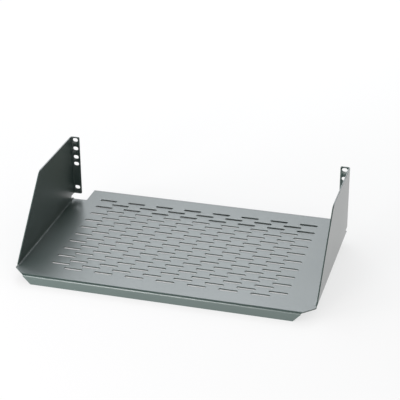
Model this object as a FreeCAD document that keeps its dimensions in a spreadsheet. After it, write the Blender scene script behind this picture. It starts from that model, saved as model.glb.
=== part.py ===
import FreeCAD, Part
import math
import os

import Sketcher

# Vented cantilever shelf for a two-post rack, folded from one blank of steel sheet.
# +Z is up, +X is to the right and the front lip faces -Y.
# The origin is under the middle of the shelf, on the surface that its two lips stand on.

NODE = "rack_shelf"
SHEET_NAME = "sizes"

# Straight facets in each end of a deck slot, an even number so that one corner marks the end
SLOT_END_FACETS = 4

# Driving sizes in millimetres, and counts. Depths run back from the front lip's face.
DRIVING = {
    "shelf_width": 482.6,  # over the outer faces of the two gussets
    "mount_depth": 280.0,  # front lip's face to the flange face that bears on the rack rail
    "tongue_reach": 36.5,  # rail face to the rear lip's face
    "sheet_gauge": 2.0,
    "bend_radius": 2.0,  # inside every fold
    "lip_drop": 16.5,  # deck's top to the lower edge of both lips
    "corner_cut": 20.2,  # slanted front corners of the deck, along both edges
    "lip_taper": 11.8,  # how far each slanted end of the front lip runs in
    "tongue_inset": 26.3,  # gusset's outer face to the side of the tongue
    "deck_setback": 6.5,  # rail face to the deck's rear edge beside the tongue
    "slope_foot": 25.5,  # where the gusset's sloped edge meets the deck's top
    "level_run": 145.0,  # level top edge of the gusset, rail face to the slope
    "slope_round": 16.0,  # rounding between the slope and the level edge
    "corner_round": 2.0,  # small roundings on flange, rear lip and deck
    "flange_width": 16.0,  # gusset's outer face to the flange's free edge
    "flange_gap": 8.5,  # deck's top to the flange's lower end
    "relief_reach": 15.0,  # rail face to the front of the relief cut
    "relief_round": 4.0,  # rounding in the lower front corner of the relief cut
    "hole_inset": 8.75,  # gusset's outer face to the column of rack holes
    "hole_length": 9.4,
    "hole_height": 7.0,
    "hole_foot": 20.6,  # deck's top to the lowest rack hole
    "hole_margin": 5.5,  # highest rack hole to the gusset's top edge
    "hole_step": 15.875,  # pitch of the close holes at the top of the flange
    "close_holes": 3,
    "rack_unit": 44.45,
    "unit_steps": 2,  # rack units between the highest and the lowest hole
    "slot_length": 30.0,
    "slot_width": 5.0,
    "slot_columns": 8,  # slots in a wide row; a narrow row has one fewer
    "row_pairs": 10,  # each pair is a narrow row and the wide row behind it
    "slot_side_margin": 50.0,  # gusset's outer face to the end of a wide row
    "slot_end_margin": 36.65,  # lip's face to the middle of the first and of the last row
}


class Size:
    """A length that knows its present value and the sheet expression that drives it."""

    def __init__(self, value, text):
        self.value = value
        self.text = text

    def _joined(self, other, sign, value):
        return Size(value, f"({self.text} {sign} {other.text})")

    def __add__(self, other):
        return self._joined(other, "+", self.value + other.value)

    def __sub__(self, other):
        return self._joined(other, "-", self.value - other.value)

    def __mul__(self, other):
        return self._joined(other, "*", self.value * other.value)

    def __truediv__(self, other):
        return self._joined(other, "/", self.value / other.value)

    def __neg__(self):
        return Size(-self.value, f"(-{self.text})")


def driving(name):
    """The size held in the sheet's cell of that name."""
    return Size(DRIVING[name], f"{SHEET_NAME}.{name}")


def cosine(degrees):
    return Size(math.cos(math.radians(degrees)), f"cos({degrees})")


def sine(degrees):
    return Size(math.sin(math.radians(degrees)), f"sin({degrees})")


ZERO = Size(0.0, "0")
ONE = Size(1.0, "1")
TWO = Size(2.0, "2")

GAUGE = driving("sheet_gauge")
BEND_IN = driving("bend_radius")
BEND_OUT = BEND_IN + GAUGE
HALF_WIDTH = driving("shelf_width") / TWO
HALF_TONGUE = HALF_WIDTH - driving("tongue_inset")

# Places along Y
REAR = (driving("mount_depth") + driving("tongue_reach")) / TWO
FRONT = -REAR
RAIL = FRONT + driving("mount_depth")
FLANGE_FRONT = RAIL - GAUGE
GUSSET_END = RAIL - BEND_OUT
DECK_END = RAIL - driving("deck_setback")
SLOPE_FOOT = FRONT + driving("slope_foot")
SLOPE_HEAD = RAIL - driving("level_run")

# Places along Z
DECK_TOP = driving("lip_drop")
DECK_UNDER = DECK_TOP - GAUGE
LIP_FLAT_TOP = DECK_TOP - BEND_OUT
FOLD_TOP = DECK_TOP + BEND_IN
FLANGE_FOOT = DECK_TOP + driving("flange_gap")
TOP_HOLE = DECK_TOP + driving("hole_foot") + driving("unit_steps") * driving("rack_unit")
GUSSET_TOP = TOP_HOLE + driving("hole_margin")

# Slot field
SLOT_PITCH = (TWO * (HALF_WIDTH - driving("slot_side_margin")) - driving("slot_length")) / (
    driving("slot_columns") - ONE
)
ROW_PITCH = TWO * (REAR - driving("slot_end_margin")) / (TWO * driving("row_pairs") - ONE)


def make_sheet(doc):
    """Write the driving sizes into a spreadsheet, one named cell each."""
    sheet = doc.addObject("Spreadsheet::Sheet", SHEET_NAME)
    for row, (name, value) in enumerate(DRIVING.items(), start=1):
        sheet.set(f"A{row}", name)
        sheet.set(f"B{row}", str(value))
        sheet.setAlias(f"B{row}", name)
    doc.recompute()


def origin_feature(body, role):
    """The body's own origin plane or axis of that role."""
    return next(item for item in body.Origin.OriginFeatures if item.Role == role)


class Profile:
    """A sketch on one of the body's planes, with every point tied to the sheet."""

    # Which way each plane's normal points along its global axis
    NORMALS = {"XY_Plane": 1, "XZ_Plane": -1, "YZ_Plane": 1}

    def __init__(self, body, name, plane, level):
        self.sketch = body.newObject("Sketcher::SketchObject", name)
        self.sketch.AttachmentSupport = [(origin_feature(body, plane), "")]
        self.sketch.MapMode = "FlatFace"
        offset = level if self.NORMALS[plane] > 0 else -level
        self.sketch.setExpression(".AttachmentOffset.Base.z", offset.text)

    def hold(self, *terms):
        """Add a constraint that has no size."""
        return self.sketch.addConstraint(Sketcher.Constraint(*terms))

    def tie(self, size, *terms):
        """Add a constraint whose size follows the sheet."""
        index = self.hold(*terms, size.value)
        name = f"size_{index}"
        self.sketch.renameConstraint(index, name)
        self.sketch.setExpression(f"Constraints.{name}", size.text)

    def pin(self, item, end, x, y):
        """Tie a point's place to the sketch's origin."""
        self.tie(x, "DistanceX", -1, 1, item, end)
        if y is ZERO:
            self.hold("PointOnObject", item, end, -1)
        else:
            self.tie(y, "DistanceY", -1, 1, item, end)

    def add(self, curve, construction=False):
        return self.sketch.addGeometry(curve, construction)

    def outline(self, corners):
        """Closed outline, anticlockwise, through corners (x, y) or rounded ones (x, y, radius)."""
        bends = [Corner(corners, place) for place in range(len(corners))]
        lines = []
        for bend, following in zip(bends, bends[1:] + bends[:1]):
            lines.append(self.add(Part.LineSegment(bend.leave, following.arrive)))
        for place, bend in enumerate(bends):
            before, after = lines[place - 1], lines[place]
            if bend.radius is None:
                self.hold("Coincident", before, 2, after, 1)
                self.pin(after, 1, bend.x, bend.y)
            else:
                self.round_corner(bend, before, after)

    def round_corner(self, bend, before, after):
        """Arc tangent to two lines, whose corner stays pinned as a construction point."""
        arc = self.add(bend.arc())
        first, last = (1, 2) if bend.turns_left else (2, 1)
        self.hold("Tangent", before, 2, arc, first)
        self.hold("Tangent", arc, last, after, 1)
        self.tie(bend.radius, "Radius", arc)
        corner = self.add(Part.Point(bend.point), True)
        self.pin(corner, 1, bend.x, bend.y)
        self.hold("PointOnObject", corner, 1, before)
        self.hold("PointOnObject", corner, 1, after)

    def obround(self, x, y, length, width):
        """Slot with round ends, lying along the sketch's first axis."""
        reach = (length - width) / TWO
        radius = width / TWO
        left = FreeCAD.Vector((x - reach).value, y.value, 0)
        right = FreeCAD.Vector((x + reach).value, y.value, 0)
        up = FreeCAD.Vector(0, radius.value, 0)
        axis = FreeCAD.Vector(0, 0, 1)
        left_arc = self.add(
            Part.ArcOfCircle(Part.Circle(left, axis, radius.value), math.pi / 2, 3 * math.pi / 2)
        )
        right_arc = self.add(
            Part.ArcOfCircle(Part.Circle(right, axis, radius.value), -math.pi / 2, math.pi / 2)
        )
        lower = self.add(Part.LineSegment(left - up, right - up))
        upper = self.add(Part.LineSegment(right + up, left + up))
        self.pin(left_arc, 3, x - reach, y)
        self.pin(right_arc, 3, x + reach, y)
        self.tie(radius, "Radius", left_arc)
        self.hold("Equal", left_arc, right_arc)
        loop = [left_arc, lower, right_arc, upper]
        for item, following in zip(loop, loop[1:] + loop[:1]):
            self.hold("Tangent", item, 2, following, 1)

    def faceted_obround(self, x, y, length, width):
        """The same slot with facets for its ends, which keeps a shape that repeats often light."""
        reach = (length - width) / TWO
        radius = width / TWO
        corners = []
        for end, start in ((x + reach, -90), (x - reach, 90)):
            for step in range(SLOT_END_FACETS + 1):
                turn = start + 180 * step / SLOT_END_FACETS
                corners.append((end + radius * cosine(turn), y + radius * sine(turn)))
        self.outline(corners)


class Corner:
    """One corner of an outline, with the points where its rounding begins and ends."""

    def __init__(self, corners, place):
        self.x, self.y = corners[place][:2]
        self.radius = corners[place][2] if len(corners[place]) > 2 else None
        self.point = self.spot(corners[place])
        inward = (self.point - self.spot(corners[place - 1])).normalize()
        outward = (self.spot(corners[(place + 1) % len(corners)]) - self.point).normalize()
        self.turns_left = inward.cross(outward).z > 0
        self.inward = inward
        trim = 0.0
        if self.radius is not None:
            trim = self.radius.value * math.tan(inward.getAngle(outward) / 2)
        self.arrive = self.point - inward * trim
        self.leave = self.point + outward * trim

    @staticmethod
    def spot(corner):
        return FreeCAD.Vector(corner[0].value, corner[1].value, 0)

    def arc(self):
        """Arc of the rounding, always drawn anticlockwise."""
        side = 1 if self.turns_left else -1
        centre = self.arrive + FreeCAD.Vector(-self.inward.y, self.inward.x, 0) * side * self.radius.value
        ends = (self.arrive, self.leave) if self.turns_left else (self.leave, self.arrive)
        start, stop = (math.atan2(end.y - centre.y, end.x - centre.x) for end in ends)
        if stop < start:
            stop += 2 * math.pi
        circle = Part.Circle(centre, FreeCAD.Vector(0, 0, 1), self.radius.value)
        return Part.ArcOfCircle(circle, start, stop)


def mirrored(corners):
    """The same outline on the other side of the sketch's second axis."""
    return [(-corner[0], *corner[1:]) for corner in reversed(corners)]


def both_sides(profile, corners):
    """Draw an outline and its mirror image."""
    profile.outline(corners)
    profile.outline(mirrored(corners))


class FoldedSheet:
    """Builds the shelf's body feature by feature."""

    def __init__(self, doc):
        self.doc = doc
        self.body = doc.addObject("PartDesign::Body", NODE)
        self.body.Label = NODE

    @property
    def shape(self):
        """The sheet as far as it is built."""
        return self.body.Tip.Shape

    def profile(self, name, plane, level):
        return Profile(self.body, f"{name}_sketch", plane, level)

    def pad(self, name, profile, length):
        """Add the profile, run along its plane's normal."""
        feature = self.body.newObject("PartDesign::Pad", name)
        feature.Profile = profile.sketch
        feature.setExpression("Length", length.text)
        self.doc.recompute()

    def cut(self, name, profile, length):
        """Remove the profile, run against its plane's normal, and make sure that it met the sheet."""
        volume = self.shape.Volume
        feature = self.body.newObject("PartDesign::Pocket", name)
        feature.Profile = profile.sketch
        feature.setExpression("Length", length.text)
        self.doc.recompute()
        if self.shape.Volume >= volume:
            raise RuntimeError(f"{name} removed nothing")
        return feature

    def round_off(self, name, radius, spots):
        """Fillet the edges whose middles lie at the given places."""
        edges = []
        for spot in spots:
            middle = FreeCAD.Vector(*(size.value for size in spot))
            distances = [edge.CenterOfMass.distanceToPoint(middle) for edge in self.shape.Edges]
            edges.append(f"Edge{distances.index(min(distances)) + 1}")
        base = self.body.Tip
        feature = self.body.newObject("PartDesign::Fillet", name)
        feature.Base = (base, edges)
        feature.setExpression("Radius", radius.text)
        self.doc.recompute()

    def repeat(self, name, original, axis, pitch, count, down=False):
        """Repeat a cut along one of the body's axes."""
        pattern = self.body.newObject("PartDesign::LinearPattern", name)
        pattern.Originals = [original]
        pattern.Direction = (origin_feature(self.body, axis), [""])
        pattern.Reversed = down
        pattern.Mode = "Spacing"
        pattern.setExpression("Offset", pitch.text)
        pattern.setExpression("Occurrences", count.text)
        self.body.Tip = pattern
        return pattern

    def add_channel(self):
        """Deck and both gussets, folded up from it."""
        section = self.profile("channel", "XZ_Plane", GUSSET_END)
        inner = HALF_WIDTH - GAUGE
        section.outline(
            [
                (-HALF_WIDTH, DECK_UNDER, BEND_OUT),
                (HALF_WIDTH, DECK_UNDER, BEND_OUT),
                (HALF_WIDTH, GUSSET_TOP),
                (inner, GUSSET_TOP),
                (inner, DECK_TOP, BEND_IN),
                (-inner, DECK_TOP, BEND_IN),
                (-inner, GUSSET_TOP),
                (-HALF_WIDTH, GUSSET_TOP),
            ]
        )
        self.pad("channel", section, GUSSET_END - (FRONT + BEND_OUT))

    def add_front_lip(self):
        """Front lip, folded down along the flat of the deck."""
        half = HALF_WIDTH - BEND_OUT
        section = self.profile("front_lip", "YZ_Plane", -half)
        joint = FRONT + BEND_OUT + GAUGE
        section.outline(
            [
                (FRONT, ZERO),
                (FRONT + GAUGE, ZERO),
                (FRONT + GAUGE, DECK_UNDER, BEND_IN),
                (joint, DECK_UNDER),
                (joint, DECK_TOP),
                (FRONT, DECK_TOP, BEND_OUT),
            ]
        )
        self.pad("front_lip", section, TWO * half)

    def add_tongue(self):
        """Tongue between the rack posts, with its lip folded down at the rear."""
        section = self.profile("tongue", "YZ_Plane", -HALF_TONGUE)
        joint = DECK_END - GAUGE
        section.outline(
            [
                (REAR - GAUGE, ZERO),
                (REAR, ZERO),
                (REAR, DECK_TOP, BEND_OUT),
                (joint, DECK_TOP),
                (joint, DECK_UNDER),
                (REAR - GAUGE, DECK_UNDER, BEND_IN),
            ]
        )
        self.pad("tongue", section, TWO * HALF_TONGUE)

    def add_flanges(self):
        """Rack flanges, folded inward from the gussets' rear edges."""
        section = self.profile("flanges", "XY_Plane", FLANGE_FOOT)
        joint = GUSSET_END - GAUGE
        free_edge = HALF_WIDTH - driving("flange_width")
        inner = HALF_WIDTH - GAUGE
        both_sides(
            section,
            [
                (HALF_WIDTH, joint),
                (HALF_WIDTH, RAIL, BEND_OUT),
                (free_edge, RAIL),
                (free_edge, FLANGE_FRONT),
                (inner, FLANGE_FRONT, BEND_IN),
                (inner, joint),
            ],
        )
        self.pad("flanges", section, GUSSET_TOP - FLANGE_FOOT)

    def cut_slope(self):
        """Sloped front edge of both gussets."""
        side = self.profile("slope", "YZ_Plane", HALF_WIDTH)
        side.outline(
            [
                (FRONT, DECK_TOP),
                (SLOPE_FOOT, DECK_TOP),
                (SLOPE_HEAD, GUSSET_TOP),
                (FRONT, GUSSET_TOP),
            ]
        )
        self.cut("slope", side, TWO * HALF_WIDTH)

    def cut_reliefs(self):
        """Cut between each flange and the deck, and the deck's rear edge under it."""
        side = self.profile("gusset_relief", "YZ_Plane", HALF_WIDTH)
        relief_front = RAIL - driving("relief_reach")
        side.outline(
            [
                (relief_front, FOLD_TOP, driving("relief_round")),
                (RAIL, FOLD_TOP),
                (RAIL, FLANGE_FOOT),
                (relief_front, FLANGE_FOOT),
            ]
        )
        self.cut("gusset_relief", side, TWO * HALF_WIDTH)
        plan = self.profile("deck_relief", "XY_Plane", FOLD_TOP)
        both_sides(
            plan,
            [
                (HALF_TONGUE, DECK_END, driving("corner_round")),
                (HALF_WIDTH, DECK_END),
                (HALF_WIDTH, RAIL),
                (HALF_TONGUE, RAIL),
            ],
        )
        self.cut("deck_relief", plan, FOLD_TOP - DECK_UNDER)

    def cut_front_corners(self):
        """Slanted front corners of the deck and slanted ends of the front lip."""
        corner = HALF_WIDTH - driving("corner_cut")
        plan = self.profile("corner_cut", "XY_Plane", DECK_TOP)
        both_sides(
            plan,
            [(corner, FRONT), (HALF_WIDTH, FRONT), (HALF_WIDTH, FRONT + driving("corner_cut"))],
        )
        self.cut("corner_cut", plan, DECK_TOP)
        face = self.profile("lip_taper", "XZ_Plane", FRONT)
        outer = corner + GAUGE
        both_sides(
            face,
            [
                (corner - driving("lip_taper"), ZERO),
                (outer, ZERO),
                (outer, LIP_FLAT_TOP),
                (corner, LIP_FLAT_TOP),
            ],
        )
        self.cut("lip_taper", face, GAUGE)

    def round_corners(self):
        """Roundings of the gussets, the flanges and the rear lip."""
        gusset_middle = HALF_WIDTH - GAUGE / TWO
        flange_edge = HALF_WIDTH - driving("flange_width")
        flange_middle = RAIL - GAUGE / TWO
        lip_middle = REAR - GAUGE / TWO
        heads = []
        corners = []
        for side in (ONE, -ONE):
            heads.append((side * gusset_middle, SLOPE_HEAD, GUSSET_TOP))
            corners.append((side * flange_edge, flange_middle, GUSSET_TOP))
            corners.append((side * flange_edge, flange_middle, FLANGE_FOOT))
            corners.append((side * HALF_TONGUE, lip_middle, ZERO))
        self.round_off("slope_round", driving("slope_round"), heads)
        self.round_off("corner_round", driving("corner_round"), corners)

    def cut_rack_holes(self):
        """Oblong rack holes: a close group at the top, then one for each rack unit below."""
        face = self.profile("rack_hole", "XZ_Plane", FLANGE_FRONT)
        column = HALF_WIDTH - driving("hole_inset")
        for side in (ONE, -ONE):
            face.obround(side * column, TOP_HOLE, driving("hole_length"), driving("hole_height"))
        hole = self.cut("rack_hole", face, GAUGE)
        columns = (
            ("close_holes", driving("hole_step"), driving("close_holes")),
            ("unit_holes", driving("rack_unit"), driving("unit_steps") + ONE),
        )
        for name, pitch, count in columns:
            self.repeat(name, hole, "Z_Axis", pitch, count, down=True)
            self.doc.recompute()

    def cut_slots(self):
        """Staggered slot field: narrow rows, with a wide row behind each."""
        narrow_row = FRONT + driving("slot_end_margin")
        wide_row = narrow_row + ROW_PITCH
        half_pitch = SLOT_PITCH / TWO
        rightmost = (driving("slot_columns") - ONE) * half_pitch
        self.cut_slot_grid("wide_row_ends", [(rightmost, wide_row)], ONE)
        self.cut_slot_grid(
            "slot_pairs",
            [(half_pitch - rightmost, narrow_row), (-rightmost, wide_row)],
            driving("slot_columns") - ONE,
        )

    def cut_slot_grid(self, name, places, columns):
        """Slots at the given places, repeated over the columns and over every pair of rows."""
        plan = self.profile(name, "XY_Plane", DECK_TOP)
        for x, y in places:
            plan.faceted_obround(x, y, driving("slot_length"), driving("slot_width"))
        uncut = self.shape.Volume
        slots = self.cut(name, plan, GAUGE)
        wanted = (uncut - self.shape.Volume) * columns.value * DRIVING["row_pairs"]
        grid = self.repeat(f"{name}_grid", slots, "X_Axis", SLOT_PITCH, columns)
        grid.Direction2 = (origin_feature(self.body, "Y_Axis"), [""])
        pairs = driving("row_pairs")
        grid.Mode2 = "Extent"
        grid.setExpression("Length2", ((pairs - ONE) * TWO * ROW_PITCH).text)
        grid.setExpression("Occurrences2", pairs.text)
        self.doc.recompute()
        if abs(uncut - self.shape.Volume - wanted) > 0.001 * wanted:
            raise RuntimeError(f"{name} lacks some of its slots")

    def build(self):
        """Fold the blank, cut its edges, then punch its holes."""
        self.add_channel()
        self.add_front_lip()
        self.add_tongue()
        self.add_flanges()
        self.cut_slope()
        self.cut_reliefs()
        self.cut_front_corners()
        self.round_corners()
        self.cut_rack_holes()
        self.check_solid()
        self.cut_slots()
        return self.body

    def check_solid(self):
        """Stop if the folded sheet isn't one sound solid."""
        if self.shape.isNull() or not self.shape.isValid() or len(self.shape.Solids) != 1:
            raise RuntimeError(f"{self.body.Label} isn't one valid solid")


def check_document(doc, body):
    """Stop if any feature failed, or if the slots broke the sheet apart."""
    for item in doc.Objects:
        if "Invalid" in item.State or "Error" in item.State:
            raise RuntimeError(f"{item.Label} failed: {item.State}")
    if not body.Shape.isClosed() or len(body.Shape.Solids) != 1:
        raise RuntimeError(f"{body.Label} isn't one closed solid")


def main():
    doc = FreeCAD.newDocument("rack_shelf_document")
    make_sheet(doc)
    body = FoldedSheet(doc).build()
    check_document(doc, body)
    os.makedirs("parts", exist_ok=True)
    body.Shape.exportStep(f"parts/{body.Label}.step")
    box = body.Shape.BoundBox
    print(f"{body.Label}: {box.XLength:.2f} x {box.YLength:.2f} x {box.ZLength:.2f} mm,"
          f" {body.Shape.Volume:.0f} mm3, {len(body.Shape.Faces)} faces")


main()
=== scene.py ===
import logging
import math
from dataclasses import dataclass, field
from enum import Enum, IntEnum

import bmesh
import bpy
from mathutils import Matrix, Vector


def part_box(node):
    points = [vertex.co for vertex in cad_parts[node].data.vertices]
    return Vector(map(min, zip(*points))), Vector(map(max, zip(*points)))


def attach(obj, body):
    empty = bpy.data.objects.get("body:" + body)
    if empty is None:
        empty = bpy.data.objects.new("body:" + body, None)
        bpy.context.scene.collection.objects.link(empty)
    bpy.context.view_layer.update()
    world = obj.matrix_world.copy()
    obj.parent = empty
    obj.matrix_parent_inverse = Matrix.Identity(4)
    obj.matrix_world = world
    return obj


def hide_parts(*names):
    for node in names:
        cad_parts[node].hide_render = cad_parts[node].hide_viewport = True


# Looks of a vented rack shelf, folded from one sheet of steel and powder coated.
# The sheet is drawn in millimetres and the studio in metres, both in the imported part's frame:
# +Z is up and the front lip faces -Y.

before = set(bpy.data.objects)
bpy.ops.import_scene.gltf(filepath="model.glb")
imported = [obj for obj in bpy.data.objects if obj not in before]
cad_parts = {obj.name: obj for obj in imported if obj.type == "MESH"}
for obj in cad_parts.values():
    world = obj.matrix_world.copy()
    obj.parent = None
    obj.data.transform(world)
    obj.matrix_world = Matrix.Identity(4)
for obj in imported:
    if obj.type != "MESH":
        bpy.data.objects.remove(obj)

LOG = logging.getLogger("rack_shelf")
NODE = "rack_shelf"
BODY = "root"

MM = 0.001
WELD = 0.001
QUARTER_TURN = 90.0
HALF_TURN = 180.0
SHARP_ANGLE = math.radians(60)
LEVEL_NORMAL = 0.9
FLAT_WEIGHT = 100
WHITE = (1.0, 1.0, 1.0, 1.0)
TO_RIGHT = Vector((1, 0, 0))
TO_REAR = Vector((0, 1, 0))
UP = Vector((0, 0, 1))

Triple = tuple[float, float, float]
MeshPart = bmesh.types.BMVert | bmesh.types.BMEdge | bmesh.types.BMFace


class Side(Enum):
    """The two sides of the shelf, by the sign of X."""

    RIGHT = 1.0
    LEFT = -1.0


class Axis(IntEnum):
    """The axes that the sheet's free edges are looked up on."""

    X = 0
    Y = 1


def place_mesh(name: str, bm: bmesh.types.BMesh) -> bpy.types.Object:
    """Put a finished mesh in the scene.

    Args:
        name: Name of the object and of its mesh.
        bm: The mesh, which is freed.

    Returns:
        The new object.
    """
    mesh = bpy.data.meshes.new(name)
    bm.to_mesh(mesh)
    bm.free()
    piece = bpy.data.objects.new(name, mesh)
    bpy.context.scene.collection.objects.link(piece)
    return piece


def with_borders(faces: list[bmesh.types.BMFace]) -> list[MeshPart]:
    """Faces together with their edges and vertices, each once and always in the same order.

    Args:
        faces: The faces.

    Returns:
        The vertices, then the edges, then the faces.
    """
    edges = dict.fromkeys(edge for face in faces for edge in face.edges)
    verts = dict.fromkeys(vert for face in faces for vert in face.verts)
    return [*verts, *edges, *faces]


class NodeBench:
    """Places nodes in a node tree and joins them."""

    INPUT_MARK = "in_"

    def __init__(self, tree: bpy.types.NodeTree) -> None:
        """Clear the node tree that is built."""
        self.tree = tree
        tree.nodes.clear()

    def add(self, kind: str, **values: object) -> bpy.types.Node:
        """Place a node and set its properties and its unlinked inputs.

        Args:
            kind: The node's type name.
            values: Properties by name. A key that starts with in_ sets the input of that name,
                with underscores for spaces.

        Returns:
            The new node.
        """
        node = self.tree.nodes.new(kind)
        for name, value in values.items():
            if name.startswith(self.INPUT_MARK):
                socket = name.removeprefix(self.INPUT_MARK).replace("_", " ")
                node.inputs[socket].default_value = value
            else:
                setattr(node, name, value)
        return node

    def math(self, operation: str, first: object, second: object) -> bpy.types.NodeSocket:
        """Combine two values, each a socket or a number.

        Args:
            operation: The Math node's operation.
            first: The first value.
            second: The second value.

        Returns:
            The result's socket.
        """
        node = self.add("ShaderNodeMath", operation=operation)
        for socket, value in zip(node.inputs, (first, second)):
            if isinstance(value, bpy.types.NodeSocket):
                self.tree.links.new(value, socket)
            else:
                socket.default_value = value
        return node.outputs[0]

    def shiny(self, path: bpy.types.Node) -> bpy.types.NodeSocket:
        """Whether a Light Path node's ray comes off gloss or through glass."""
        return self.math("MAXIMUM", path.outputs["Is Glossy Ray"], path.outputs["Is Transmission Ray"])

    def link(self, source: bpy.types.NodeSocket, target: bpy.types.NodeSocket) -> None:
        """Join an output to an input."""
        self.tree.links.new(source, target)


def new_material(name: str) -> tuple[bpy.types.Material, NodeBench]:
    """Start a material with an empty node tree.

    Args:
        name: The material's name.

    Returns:
        The material and the bench for its nodes.
    """
    material = bpy.data.materials.new(name)
    material.use_nodes = True
    return material, NodeBench(material.node_tree)


class PowderTexture:
    """Node group for the skin of a powder coat: fine bumps over a slow unevenness."""

    NAME = "powder_texture"
    INPUTS = (("Grain Scale", 900.0), ("Cloud Scale", 7.0))
    OUTPUTS = ("Height", "Unevenness")

    @classmethod
    def group(cls) -> bpy.types.NodeTree:
        """Build the node group the first time that it is asked for.

        Returns:
            The node group.
        """
        known = bpy.data.node_groups.get(cls.NAME)
        if known:
            return known
        tree = bpy.data.node_groups.new(cls.NAME, "ShaderNodeTree")
        for name, value in cls.INPUTS:
            socket = tree.interface.new_socket(name, in_out="INPUT", socket_type="NodeSocketFloat")
            socket.default_value = value
        for name in cls.OUTPUTS:
            tree.interface.new_socket(name, in_out="OUTPUT", socket_type="NodeSocketFloat")
        bench = NodeBench(tree)
        given = bench.add("NodeGroupInput")
        result = bench.add("NodeGroupOutput")
        place = bench.add("ShaderNodeTexCoord").outputs["Object"]
        grain = bench.add("ShaderNodeTexNoise", in_Detail=2.0, in_Roughness=0.45)
        cloud = bench.add("ShaderNodeTexNoise", in_Detail=3.0, in_Roughness=0.55)
        for noise, scale in ((grain, "Grain Scale"), (cloud, "Cloud Scale")):
            bench.link(place, noise.inputs["Vector"])
            bench.link(given.outputs[scale], noise.inputs["Scale"])
        bench.link(grain.outputs[0], result.inputs["Height"])
        bench.link(cloud.outputs[0], result.inputs["Unevenness"])
        return tree


@dataclass(frozen=True)
class PowderCoat:
    """Satin charcoal powder coat."""

    dark: Triple = (0.021, 0.042, 0.036)
    light: Triple = (0.032, 0.060, 0.052)
    roughness: float = 0.46
    roughness_swing: float = 0.10
    ior: float = 1.8
    sheen_coat: float = 1.0
    coat_roughness: float = 0.30
    bump: float = 0.06
    bump_depth: float = 0.0003

    def material(self) -> bpy.types.Material:
        """Make the material.

        Returns:
            The finished material.
        """
        material, bench = new_material("satin_powder_coat")
        out = bench.add("ShaderNodeOutputMaterial")
        coat = bench.add(
            "ShaderNodeBsdfPrincipled", in_IOR=self.ior, in_Coat_Weight=self.sheen_coat,
            in_Coat_Roughness=self.coat_roughness,
        )
        skin = bench.add("ShaderNodeGroup", node_tree=PowderTexture.group())
        tone = bench.add("ShaderNodeMix", data_type="RGBA")
        share, *_, first, second = (socket for socket in tone.inputs if socket.enabled)
        first.default_value = (*self.dark, 1.0)
        second.default_value = (*self.light, 1.0)
        mixed = next(socket for socket in tone.outputs if socket.enabled)
        bench.link(skin.outputs["Unevenness"], share)
        bench.link(mixed, coat.inputs["Base Color"])
        swing = bench.math("MULTIPLY", skin.outputs["Unevenness"], self.roughness_swing)
        rough = bench.math("ADD", swing, self.roughness - self.roughness_swing / 2)
        bench.link(rough, coat.inputs["Roughness"])
        bump = bench.add("ShaderNodeBump", in_Strength=self.bump, in_Distance=self.bump_depth)
        bench.link(skin.outputs["Height"], bump.inputs["Height"])
        bench.link(bump.outputs[0], coat.inputs["Normal"])
        bench.link(coat.outputs[0], out.inputs["Surface"])
        return material


class Pen:
    """Draws closed wire outlines on a plane, and fills them."""

    def __init__(
        self, bm: bmesh.types.BMesh, origin: Vector, across: Vector, along: Vector
    ) -> None:
        """Set the plane that is drawn on.

        Args:
            bm: The mesh that is drawn in.
            origin: Where the plane's coordinates start.
            across: Direction of the first coordinate.
            along: Direction of the second coordinate.
        """
        self.bm = bm
        self.origin = origin
        self.across = across
        self.along = along
        self.normal = across.cross(along)

    def place(self, u: float, v: float) -> Vector:
        """The point in space at plane coordinates (u, v)."""
        return self.origin + self.across * u + self.along * v

    def start(self, u: float, v: float) -> "Pen":
        """Put the pen down at (u, v)."""
        self.first = self.tip = self.bm.verts.new(self.place(u, v))
        return self

    def line(self, u: float, v: float) -> "Pen":
        """Draw a straight line.

        Args:
            u: First coordinate of the line's end.
            v: Second coordinate of the line's end.

        Returns:
            The pen, for the next stroke.
        """
        made = bmesh.ops.extrude_vert_indiv(self.bm, verts=[self.tip])
        self.tip = made["verts"][0]
        self.tip.co = self.place(u, v)
        return self

    def arc(self, u: float, v: float, degrees: float, steps: int) -> "Pen":
        """Draw an arc.

        Args:
            u: First coordinate of the arc's centre.
            v: Second coordinate of the arc's centre.
            degrees: How far it turns, anticlockwise where above zero.
            steps: Facets in the arc.

        Returns:
            The pen, for the next stroke.
        """
        made = bmesh.ops.spin(
            self.bm, geom=[self.tip], cent=self.place(u, v), axis=self.normal, dvec=(0, 0, 0),
            angle=math.radians(degrees), steps=steps, use_duplicate=False,
        )
        self.tip = next(item for item in made["geom_last"] if isinstance(item, bmesh.types.BMVert))
        return self

    def close(self) -> None:
        """Draw a straight line back to where the outline started."""
        self.bm.edges.new((self.tip, self.first))

    def obround(self, u: float, v: float, length: float, width: float, steps: int) -> None:
        """Draw a slot with round ends, lying along the first coordinate.

        Args:
            u: First coordinate of the slot's middle.
            v: Second coordinate of the slot's middle.
            length: Length from end to end.
            width: Width between the straight sides.
            steps: Facets in each round end.
        """
        reach = (length - width) / 2
        radius = width / 2
        self.start(u + reach, v - radius).arc(u + reach, v, HALF_TURN, steps)
        self.line(u - reach, v + radius).arc(u - reach, v, HALF_TURN, steps)
        self.close()

    def fill(self) -> None:
        """Fill the outlines drawn so far, leaving open those that lie inside another."""
        wires = [edge for edge in self.bm.edges if edge.is_wire]
        bmesh.ops.triangle_fill(self.bm, use_beauty=True, edges=wires, normal=self.normal)

    def fill_plain(self) -> None:
        """Fill each outline drawn so far with one face."""
        wires = [edge for edge in self.bm.edges if edge.is_wire]
        bmesh.ops.edgeloop_fill(self.bm, edges=wires)


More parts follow.
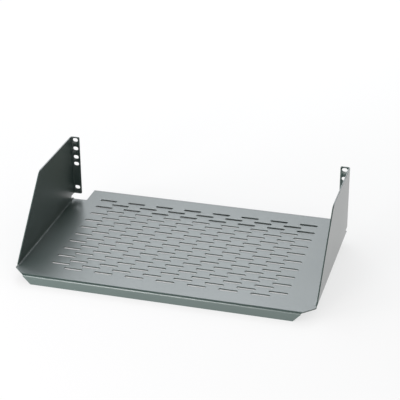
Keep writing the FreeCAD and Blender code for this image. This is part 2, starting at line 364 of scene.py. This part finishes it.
@dataclass
class SlotField:
    """The deck's staggered slots: narrow rows, with a wide row behind each."""

    length: float = 30.0
    width: float = 5.0
    columns: int = 8
    rows: int = 20
    first_row: float = -121.6
    row_pitch: float = 12.8
    column_pitch: float = 50.371
    end_facets: int = 6

    def draw(self, pen: Pen) -> None:
        """Draw every slot's outline.

        Args:
            pen: A pen on the deck's plane.
        """
        for row in range(self.rows):
            columns = self.columns - (row % 2 == 0)
            for column in range(columns):
                u = (column - (columns - 1) / 2) * self.column_pitch
                v = self.first_row + row * self.row_pitch
                pen.obround(u, v, self.length, self.width, self.end_facets)

    def covers(self, spot: Vector) -> bool:
        """Whether a point of the deck lies within the field.

        Args:
            spot: The point.

        Returns:
            True where it does.
        """
        half_length = (self.columns - 1) / 2 * self.column_pitch + self.length / 2
        half_depth = -self.first_row + self.width / 2
        return abs(spot.x) < half_length + WELD and abs(spot.y) < half_depth + WELD


@dataclass
class RackHoles:
    """The column of oblong holes in each flange."""

    length: float = 9.4
    height: float = 7.0
    column: float = 232.55
    levels: tuple[float, ...] = (126.0, 110.125, 94.25, 81.55, 37.1)
    end_facets: int = 10

    def draw(self, pen: Pen) -> None:
        """Draw every hole's outline on the flange's plane."""
        for level in self.levels:
            pen.obround(self.column, level, self.length, self.height, self.end_facets)

    def covers(self, spot: Vector) -> bool:
        """Whether a point of the flange lies on the edge of a hole.

        Args:
            spot: The point.

        Returns:
            True where it does.
        """
        across = abs(abs(spot.x) - self.column)
        rise = min(abs(spot.z - level) for level in self.levels)
        return across < self.length / 2 + WELD and rise < self.height / 2 + WELD


@dataclass
class FoldedSheet:
    """The shelf's one sheet, folded from its face side and then given its gauge.

    The face side is the deck's top, the inner faces of the gussets, the front faces of the
    flanges and the outer faces of the two lips. low and high are the corners of its box.
    """

    low: Vector
    high: Vector
    gauge: float = 2.0
    bend_in: float = 2.0
    deck_top: float = 16.5
    rail: float = 121.75
    corner_cut: float = 20.2
    lip_taper: float = 11.8
    half_tongue: float = 215.0
    deck_end: float = 115.25
    slope_foot: float = -132.75
    slope_head: float = -23.25
    slope_round: float = 16.0
    corner_round: float = 2.0
    flange_width: float = 16.0
    flange_foot: float = 25.0
    relief_front: float = 106.75
    relief_round: float = 4.0
    edge_round: float = 0.3
    bend_facets: int = 6
    slope_facets: int = 8
    relief_facets: int = 6
    corner_facets: int = 4
    edge_facets: int = 2
    slot_edge_facets: int = 1
    slots: SlotField = field(default_factory=SlotField)
    holes: RackHoles = field(default_factory=RackHoles)
    finish: PowderCoat = PowderCoat()

    def __post_init__(self) -> None:
        """Start the mesh, and work out the places that follow from the sizes."""
        self.bm = bmesh.new()
        self.bend_out = self.bend_in + self.gauge
        self.half_width = self.high.x
        self.top = self.high.z
        self.flat_half = self.half_width - self.bend_out
        self.gusset_face = self.half_width - self.gauge
        self.fold_top = self.deck_top + self.bend_in
        self.lip_top = self.deck_top - self.bend_out
        self.front_line = self.low.y + self.bend_out
        self.rear_line = self.high.y - self.bend_out
        self.gusset_end = self.rail - self.bend_out
        self.flange_face = self.rail - self.gauge
        self.relief_start = self.relief_front + self.relief_round
        self.toe_half = self.flat_half + math.sqrt(self.bend_out**2 - self.bend_in**2)

    def build(self) -> bpy.types.Object:
        """Fold the sheet, put it in the scene and paint it.

        Returns:
            The finished piece.
        """
        self.fill_deck()
        self.fold_lips()
        self.trim_front()
        self.fold_gusset()
        self.fold_flange()
        self.mirror_sides()
        self.thicken()
        self.seat_toes()
        self.soften_edges()
        bmesh.ops.recalc_face_normals(self.bm, faces=self.bm.faces)
        for face in self.bm.faces:
            face.smooth = True
        bmesh.ops.scale(self.bm, vec=(MM, MM, MM), verts=self.bm.verts)
        piece = place_mesh("folded_sheet", self.bm)
        self.dress(piece)
        return piece

    def dress(self, piece: bpy.types.Object) -> None:
        """Paint the sheet, and let its flat faces stay flat in the light.

        Args:
            piece: The folded sheet's object.
        """
        piece.data.materials.append(self.finish.material())
        normals = piece.modifiers.new("flat_normals", "WEIGHTED_NORMAL")
        normals.weight = FLAT_WEIGHT
        normals.keep_sharp = True

    def edges_at(self, axis: Axis, place: float) -> list[bmesh.types.BMEdge]:
        """The sheet's free edges that lie in the plane at that place on the axis.

        Args:
            axis: The axis that the plane is square to.
            place: The plane's place.

        Returns:
            The edges with one face whose both ends lie in the plane.
        """
        return [
            edge for edge in self.bm.edges
            if edge.is_boundary and all(abs(vert.co[axis] - place) < WELD for vert in edge.verts)
        ]

    def fold(
        self, edges: list[bmesh.types.BMEdge], centre: Vector, axis: Vector
    ) -> list[bmesh.types.BMEdge]:
        """Bend the sheet on through a right angle from the given edges.

        Args:
            edges: Where the bend starts.
            centre: A point on the bend's axis.
            axis: The bend's axis, turned about by the right-hand rule.

        Returns:
            The edges where the bend ends.
        """
        verts = dict.fromkeys(vert for edge in edges for vert in edge.verts)
        made = bmesh.ops.spin(
            self.bm, geom=[*verts, *edges], cent=centre, axis=axis, dvec=(0, 0, 0),
            angle=math.radians(QUARTER_TURN), steps=self.bend_facets, use_duplicate=False,
        )
        return [item for item in made["geom_last"] if isinstance(item, bmesh.types.BMEdge)]

    def trim(self, faces: list[bmesh.types.BMFace], spot: Vector, outward: Vector) -> None:
        """Cut faces off along a plane.

        Args:
            faces: The faces that the cut may reach.
            spot: A point on the plane.
            outward: The plane's normal, towards what goes.
        """
        bmesh.ops.bisect_plane(
            self.bm, geom=with_borders(faces), dist=WELD, plane_co=spot,
            plane_no=outward.normalized(), clear_outer=True,
        )

    def round_corners(self, corners: list[bmesh.types.BMVert], offset: float, facets: int) -> None:
        """Round corners of the flat sheet.

        Args:
            corners: The vertices at the corners.
            offset: How far along its edges each rounding starts.
            facets: Facets in each rounding.
        """
        bmesh.ops.bevel(
            self.bm, geom=corners, offset=offset, offset_type="OFFSET", affect="VERTICES",
            segments=facets, profile=0.5, material=-1, clamp_overlap=True,
        )

    def fill_deck(self) -> None:
        """Draw the deck with its tongue and its slots, and fill it."""
        pen = Pen(self.bm, UP * self.deck_top, TO_RIGHT, TO_REAR)
        notch = self.half_tongue + self.corner_round
        pen.start(0, self.front_line)
        pen.line(self.toe_half, self.front_line).line(self.toe_half, self.slope_foot)
        pen.line(self.flat_half, self.slope_foot).line(self.flat_half, self.relief_start)
        pen.line(self.flat_half, self.deck_end).line(notch, self.deck_end)
        pen.arc(notch, self.deck_end + self.corner_round, -QUARTER_TURN, self.corner_facets)
        pen.line(self.half_tongue, self.rear_line).line(0, self.rear_line)
        half = [*self.bm.verts, *self.bm.edges]
        bmesh.ops.mirror(self.bm, geom=half, matrix=Matrix.Identity(4), merge_dist=WELD, axis="X")
        self.slots.draw(pen)
        pen.fill()

    def fold_lips(self) -> None:
        """Fold both lips down, and round the rear lip's lower corners."""
        for line, turn in ((self.front_line, 1), (self.rear_line, -1)):
            centre = Vector((0, line, self.lip_top))
            ends = self.fold(self.edges_at(Axis.Y, line), centre, TO_RIGHT * turn)
            made = bmesh.ops.extrude_edge_only(self.bm, edges=ends)["geom"]
            lower = [item for item in made if isinstance(item, bmesh.types.BMVert)]
            bmesh.ops.translate(self.bm, verts=lower, vec=(0, 0, -self.lip_top))
        corners = [
            vert for vert in self.bm.verts
            if abs(vert.co.x) > self.half_tongue - WELD
            and vert.co.y > self.rear_line
            and vert.co.z < WELD
        ]
        self.round_corners(corners, self.corner_round, self.corner_facets)

    def trim_front(self) -> None:
        """Slant the deck's front corners and the ends of the front lip."""
        corner = self.half_width - self.corner_cut
        for side in Side:
            x = side.value
            self.trim(self.bm.faces[:], Vector((x * corner, self.low.y, 0)), Vector((x, -1, 0)))
            lip = [face for face in self.bm.faces if all(
                vert.co.y < self.front_line and vert.co.z < self.lip_top + WELD for vert in face.verts
            )]
            outward = Vector((x * self.lip_top, 0, -self.lip_taper))
            self.trim(lip, Vector((x * corner, 0, self.lip_top)), outward)

    def fold_gusset(self) -> None:
        """Fold the right gusset up, and cut its sloped edge and its relief."""
        known = set(self.bm.faces)
        side = [
            edge for edge in self.edges_at(Axis.X, self.flat_half)
            if edge.verts[0].co.y > self.slope_foot - WELD
        ]
        self.fold(side, Vector((self.flat_half, 0, self.fold_top)), -TO_REAR)
        pen = Pen(self.bm, TO_RIGHT * self.gusset_face, TO_REAR, UP)
        pen.start(self.slope_foot, self.fold_top).line(self.relief_start, self.fold_top)
        relief_centre = self.fold_top + self.relief_round
        pen.arc(self.relief_start, relief_centre, -QUARTER_TURN, self.relief_facets)
        pen.line(self.relief_front, self.flange_foot).line(self.gusset_end, self.flange_foot)
        pen.line(self.gusset_end, self.top)
        pen.line(self.slope_foot, self.top).close()
        pen.fill_plain()
        bmesh.ops.remove_doubles(self.bm, verts=self.bm.verts, dist=WELD)
        rise = Vector((0, self.slope_head - self.slope_foot, self.top - self.deck_top))
        foot = Vector((self.gusset_face, self.slope_foot, self.deck_top))
        gusset = [face for face in self.bm.faces if face not in known]
        self.trim(gusset, foot, Vector((0, -rise.z, rise.y)))
        head = [
            vert for vert in self.bm.verts
            if vert.co.x > self.gusset_face - WELD
            and vert.co.y < 0
            and abs(vert.co.z - self.top) < WELD
        ]
        tangent = self.slope_round * math.tan(math.atan2(rise.z, rise.y) / 2)
        self.round_corners(head, tangent, self.slope_facets)

    def fold_flange(self) -> None:
        """Fold the right flange inward, with its holes and its rounded corners."""
        edges = [
            edge for edge in self.edges_at(Axis.Y, self.gusset_end)
            if edge.verts[0].co.x > self.flat_half
        ]
        self.fold(edges, Vector((self.flat_half, self.gusset_end, 0)), UP)
        pen = Pen(self.bm, TO_REAR * self.flange_face, TO_RIGHT, UP)
        free = self.half_width - self.flange_width
        inner = free + self.corner_round
        pen.start(self.flat_half, self.top).line(inner, self.top)
        pen.arc(inner, self.top - self.corner_round, QUARTER_TURN, self.corner_facets)
        pen.line(free, self.flange_foot + self.corner_round)
        pen.arc(inner, self.flange_foot + self.corner_round, QUARTER_TURN, self.corner_facets)
        pen.line(self.flat_half, self.flange_foot).close()
        self.holes.draw(pen)
        pen.fill()

    def mirror_sides(self) -> None:
        """Repeat the right gusset and flange on the left, and weld the sheet together."""
        side = [
            face for face in self.bm.faces
            if all(vert.co.z > self.deck_top - WELD for vert in face.verts)
            and any(vert.co.z > self.deck_top + WELD for vert in face.verts)
        ]
        made = bmesh.ops.duplicate(self.bm, geom=with_borders(side))["geom"]
        copies = [item for item in made if isinstance(item, bmesh.types.BMVert)]
        bmesh.ops.scale(self.bm, vec=(-1, 1, 1), verts=copies)
        bmesh.ops.remove_doubles(self.bm, verts=self.bm.verts, dist=WELD)

    def thicken(self) -> None:
        """Turn every face to the face side, then give the sheet its gauge."""
        bmesh.ops.recalc_face_normals(self.bm, faces=self.bm.faces)
        level = [face for face in self.bm.faces if abs(face.normal.z) > LEVEL_NORMAL]
        deck = max(level, key=lambda face: face.calc_area())
        if deck.normal.z < 0:
            bmesh.ops.reverse_faces(self.bm, faces=self.bm.faces)
        bmesh.ops.solidify(self.bm, geom=self.bm.faces, thickness=self.gauge)

    def seat_toes(self) -> None:
        """Bring the outer side of each gusset's bend forward, to meet the deck at its foot."""
        slope = (self.slope_head - self.slope_foot) / (self.top - self.deck_top)
        for vert in self.bm.verts:
            past_foot = vert.co.y - self.slope_foot
            if abs(vert.co.x) > self.flat_half + WELD and -WELD < past_foot < self.bend_in:
                vert.co.y = self.slope_foot + max(0.0, vert.co.z - self.deck_top) * slope

    def soften_edges(self) -> None:
        """Round the cut edges a little, as the coating does, with less detail in the slots.

        The rack holes stay sharp, and nothing may end up below the lips' lower edges.
        """
        sharp = [edge for edge in self.bm.edges if edge.calc_face_angle() > SHARP_ANGLE]
        slots = [edge for edge in sharp if all(self.slots.covers(vert.co) for vert in edge.verts)]
        holes = [edge for edge in sharp if all(self.holes.covers(vert.co) for vert in edge.verts)]
        apart = {*slots, *holes}
        rest = [edge for edge in sharp if edge not in apart]
        for edges, facets in ((slots, self.slot_edge_facets), (rest, self.edge_facets)):
            bmesh.ops.bevel(
                self.bm, geom=edges, offset=self.edge_round, offset_type="OFFSET", affect="EDGES",
                segments=facets, profile=0.5, material=-1, clamp_overlap=False,
            )
        for vert in self.bm.verts:
            vert.co.z = max(vert.co.z, self.low.z)


@dataclass(frozen=True)
class PalePaper:
    """The floor's paper, which looks white and takes a real shadow in its diffuse share.

    Under the shelf, within painted_shade_half, it has a painted shade: it glows less to the camera,
    by painted_slot_light in front of painted_light_depth, a painted light through the slots, and not
    at all behind that, and it does not glow in the paint's reflections there.
    """

    color: Triple = (0.82, 0.82, 0.82)
    glow: float = 0.70
    mirror_glow: float = 0.78
    # Painted shade under the shelf, with painted light through the slots in front of
    # painted_light_depth.
    painted_shade_half: tuple[float, float] = (0.212, 0.156)
    painted_light_depth: float = 0.113
    painted_slot_light: float = 0.74

    def material(self) -> bpy.types.Material:
        """Make the material.

        Returns:
            The finished material.
        """
        material, bench = new_material("pale_paper")
        out = bench.add("ShaderNodeOutputMaterial")
        paper = bench.add("ShaderNodeBsdfDiffuse", in_Color=(*self.color, 1.0))
        white = bench.add("ShaderNodeEmission", in_Color=WHITE, in_Strength=1.0)
        blend = bench.add("ShaderNodeMixShader")
        path = bench.add("ShaderNodeLightPath")
        parts = bench.add("ShaderNodeSeparateXYZ")
        bench.link(bench.add("ShaderNodeTexCoord").outputs["Object"], parts.inputs[0])
        # Painted shade under the shelf: beside and before mark the places outside it.
        beside, before = (
            bench.math("GREATER_THAN", bench.math("ABSOLUTE", parts.outputs[axis], 0.0), half)
            for axis, half in zip("XY", self.painted_shade_half)
        )
        clear = bench.math("MAXIMUM", beside, before)
        # Painted light through the slots in front of painted_light_depth, painted shadow behind it.
        short = bench.math("LESS_THAN", parts.outputs["Y"], self.painted_light_depth)
        lit = bench.math("MAXIMUM", clear, bench.math("MULTIPLY", short, self.painted_slot_light))
        viewed = bench.math("MULTIPLY", path.outputs["Is Camera Ray"], self.glow)
        seen = bench.math("MULTIPLY", viewed, lit)
        shiny = bench.math("MULTIPLY", bench.shiny(path), self.mirror_glow)
        # Under the shelf the paint's reflections get no glow: a painted shade in its sheen.
        mirrored = bench.math("MULTIPLY", shiny, clear)
        bench.link(bench.math("MAXIMUM", seen, mirrored), blend.inputs[0])
        bench.link(paper.outputs[0], blend.inputs[1])
        bench.link(white.outputs[0], blend.inputs[2])
        bench.link(blend.outputs[0], out.inputs["Surface"])
        return material


@dataclass(frozen=True)
class DarkFelt:
    """The shade card's dark felt, a painted shade that only the paint's reflections show."""

    color: Triple = (0.09, 0.10, 0.09)

    def material(self) -> bpy.types.Material:
        """Make the material.

        Returns:
            The finished material.
        """
        material, bench = new_material("black_card")
        out = bench.add("ShaderNodeOutputMaterial")
        felt = bench.add("ShaderNodeBsdfDiffuse", in_Color=(*self.color, 1.0))
        bench.link(felt.outputs[0], out.inputs["Surface"])
        return material


@dataclass(frozen=True)
class Floor:
    """A wide pale floor at the shelf's feet, which keeps a light shadow and has painted shade under
    the shelf.
    """

    half: float = 6.0
    finish: PalePaper = PalePaper()

    def build(self) -> None:
        """Lay the floor."""
        bm = bmesh.new()
        bmesh.ops.create_grid(bm, x_segments=1, y_segments=1, size=self.half)
        floor = place_mesh("floor", bm)
        floor.data.materials.append(self.finish.material())


@dataclass(frozen=True)
class ShadeCard:
    """A dark card on the floor, hidden from the camera, that only shows in the paint's sheen as
    painted shade.
    """

    place: Triple = (-0.12, 0.47, 0.002)
    half: float = 0.30
    finish: DarkFelt = DarkFelt()

    def build(self) -> None:
        """Lay the card down."""
        bm = bmesh.new()
        bmesh.ops.create_grid(bm, x_segments=1, y_segments=1, size=self.half)
        bmesh.ops.translate(bm, verts=bm.verts, vec=self.place)
        card = place_mesh("shade_card", bm)
        card.data.materials.append(self.finish.material())
        # Seen only in reflections: a painted shade in the paint's sheen.
        card.visible_camera = False
        card.visible_diffuse = False
        card.visible_shadow = False


@dataclass(frozen=True)
class Softbox:
    """A rectangular lamp that points at the shelf, and may be left out of its gloss."""

    name: str
    place: Triple
    width: float
    height: float
    watts: float
    aim: Triple = (0.0, 0.0, 0.03)
    color: Triple = (1.0, 1.0, 1.0)
    mirrored: bool = True

    def build(self) -> None:
        """Hang the lamp in the scene."""
        lamp = bpy.data.lights.new(self.name, "AREA")
        lamp.shape = "RECTANGLE"
        lamp.size = self.width
        lamp.size_y = self.height
        lamp.energy = self.watts
        lamp.color = self.color
        holder = bpy.data.objects.new(self.name, lamp)
        holder.location = self.place
        towards = Vector(self.aim) - Vector(self.place)
        holder.rotation_euler = towards.to_track_quat("-Z", "Y").to_euler()
        holder.visible_glossy = self.mirrored
        bpy.context.scene.collection.objects.link(holder)


@dataclass(frozen=True)
class WhiteRoom:
    """White surroundings, which the paint mirrors only near the horizon."""

    ambient: float = 0.75
    zenith: float = 0.06
    horizon_band: float = 0.22

    def build(self) -> None:
        """Set the world up, so that it lights the shelf more softly than it looks."""
        world = bpy.data.worlds.new("white_room")
        world.use_nodes = True
        bpy.context.scene.world = world
        bench = NodeBench(world.node_tree)
        out = bench.add("ShaderNodeOutputWorld")
        room = bench.add("ShaderNodeBackground", in_Color=WHITE)
        direction = bench.add("ShaderNodeTexCoord").outputs["Generated"]
        parts = bench.add("ShaderNodeSeparateXYZ")
        bench.link(direction, parts.inputs[0])
        rise = bench.add(
            "ShaderNodeMapRange", in_From_Min=0.0, in_From_Max=self.horizon_band,
            in_To_Min=1.0, in_To_Max=self.zenith,
        )
        bench.link(parts.outputs["Z"], rise.inputs["Value"])
        path = bench.add("ShaderNodeLightPath")
        mirrored = bench.math("MULTIPLY", bench.shiny(path), rise.outputs["Result"])
        seen = bench.math("MAXIMUM", mirrored, path.outputs["Is Camera Ray"])
        soft = bench.math("MULTIPLY", path.outputs["Is Diffuse Ray"], self.ambient)
        bench.link(bench.math("MAXIMUM", seen, soft), room.inputs["Strength"])
        bench.link(room.outputs[0], out.inputs["Surface"])


@dataclass(frozen=True)
class PhotoCamera:
    """The camera, where the photograph was taken from."""

    place: Triple = (0.540246, -1.819092, 1.034400)
    turn: float = 0.277341
    tilt: float = 0.458085
    roll: float = -0.005362
    lens: float = 119.3956
    sensor: float = 36.0

    def build(self) -> None:
        """Set the camera up and make it the scene's own."""
        level = math.cos(self.tilt)
        back = Vector((math.sin(self.turn) * level, -math.cos(self.turn) * level, math.sin(self.tilt)))
        side = (-back).cross(UP).normalized()
        rise = side.cross(-back)
        right = side * math.cos(self.roll) + rise * math.sin(self.roll)
        up = rise * math.cos(self.roll) - side * math.sin(self.roll)
        data = bpy.data.cameras.new("camera")
        data.sensor_width = self.sensor
        data.lens = self.lens
        camera = bpy.data.objects.new("camera", data)
        turned = Matrix((right, up, back)).transposed().to_4x4()
        camera.matrix_world = Matrix.Translation(self.place) @ turned
        bpy.context.scene.collection.objects.link(camera)
        bpy.context.scene.camera = camera


@dataclass(frozen=True)
class Studio:
    """Everything round the shelf: surroundings, floor, soft lamps and the camera."""

    room: WhiteRoom = WhiteRoom()
    floor: Floor = Floor()
    card: ShadeCard = ShadeCard()
    lamps: tuple[Softbox, ...] = (
        Softbox("back_softbox", (-0.42, 1.70, 1.12), 1.18, 1.0, 8.4, color=(0.92, 0.965, 1.0)),
        Softbox("back_overhead", (-0.42, 1.40, 1.60), 1.18, 0.8, 8.9, color=(0.92, 0.965, 1.0)),
        Softbox(
            "left_fill", (-1.4, -1.0, 0.10), 0.8, 0.2, 50.0, color=(1.0, 0.89, 0.94), mirrored=False
        ),
        Softbox("front_softbox", (-0.50, -1.60, 0.30), 0.5, 0.5, 13.6),
    )
    camera: PhotoCamera = PhotoCamera()

    def build(self) -> None:
        """Set the studio up."""
        bpy.context.scene.view_settings.view_transform = "Standard"
        for thing in (self.room, self.floor, self.card, *self.lamps, self.camera):
            thing.build()


def main() -> None:
    """Build the shelf and its studio, and report each piece."""
    logging.basicConfig(level=logging.INFO, format="%(name)s: %(message)s")
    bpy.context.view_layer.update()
    low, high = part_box(NODE)
    sheet = FoldedSheet(low / MM, high / MM).build()
    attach(sheet, BODY)
    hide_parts(NODE)
    LOG.info("%s: %d faces", sheet.name, len(sheet.data.polygons))
    Studio().build()


if __name__ == "__main__":
    main()
